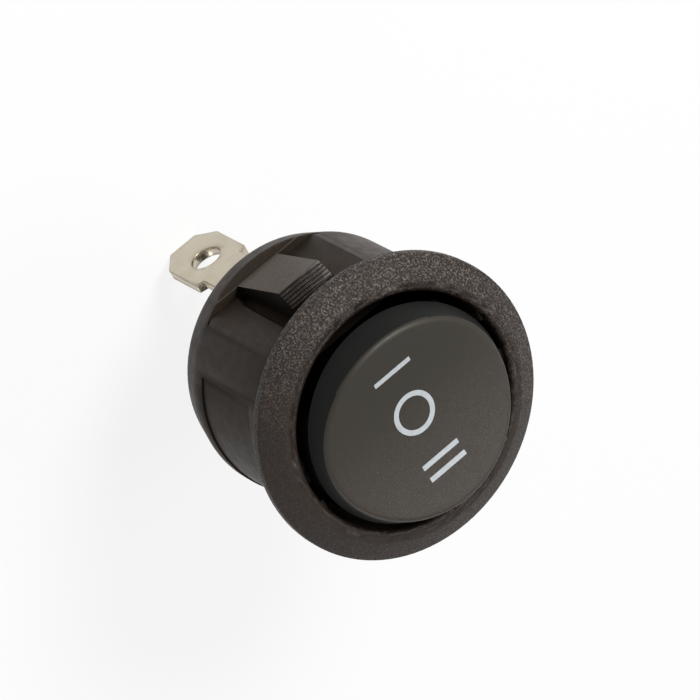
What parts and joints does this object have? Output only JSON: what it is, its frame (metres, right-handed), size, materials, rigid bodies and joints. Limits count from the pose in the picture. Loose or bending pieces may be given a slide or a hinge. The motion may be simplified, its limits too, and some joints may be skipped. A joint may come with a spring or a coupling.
{
  "type": "panel rocker switch",
  "caption": "Round snap-in rocker switch, on-off-on, with a dished rocker, spring latches and blade terminals",
  "frame": {"origin": "centre of the bezel's back face, which seats on the panel", "axes": "+Z out of the front of the panel, X the rocking direction with mark I at -X and mark II at +X, Y the pivot axis"},
  "size_m": [0.023, 0.023, 0.0294],
  "materials": {
    "housing_plastic": "spark-eroded grain on the bezel, satin body",
    "rocker_plastic": "fine matte grain, printed marks",
    "plunger_plastic": "natural",
    "spring_steel": "drawn wire",
    "blade_brass": "stamped",
    "contact_silver": "silver alloy, satin",
    "mark_ink": "pad-printed pale grey marks",
    "terminal_metal": "nickel-plated, stamped"
  },
  "bodies": {
    "base": {"housing": "housing_plastic", "terminal_i": "terminal_metal", "terminal_common": "terminal_metal", "terminal_ii": "terminal_metal", "fixed_contact_i": "contact_silver", "fixed_contact_ii": "contact_silver"},
    "rocker": {"rocker": "rocker_plastic", "plunger_spring": "spring_steel"},
    "plunger": {"plunger": "plunger_plastic"},
    "contact": {"contact_blade": "blade_brass", "moving_contact_i": "contact_silver", "moving_contact_ii": "contact_silver"}
  },
  "joints": [
    {"name": "rocker_tilt", "type": "hinge", "parent": "base", "child": "rocker", "pos_m": [0, 0, -0.001], "axis": [0, 1, 0], "range_deg": [-11.5, 11.5]},
    {"name": "plunger_slide", "type": "slide", "parent": "rocker", "child": "plunger", "axis": [0, 0, 1], "range_m": [0, 0.0008], "stiffness_N_per_m": 900, "springref_m": -0.0015, "deforming": ["plunger_spring"]},
    {"name": "contact_tilt", "type": "hinge", "parent": "base", "child": "contact", "pos_m": [0, 0, -0.0099], "axis": [0, 1, 0], "range_deg": [-6.5, 6.5]}
  ],
  "couplings": [
    {"joint": "contact_tilt", "follows": "rocker_tilt", "ratio": -0.565}
  ]
}
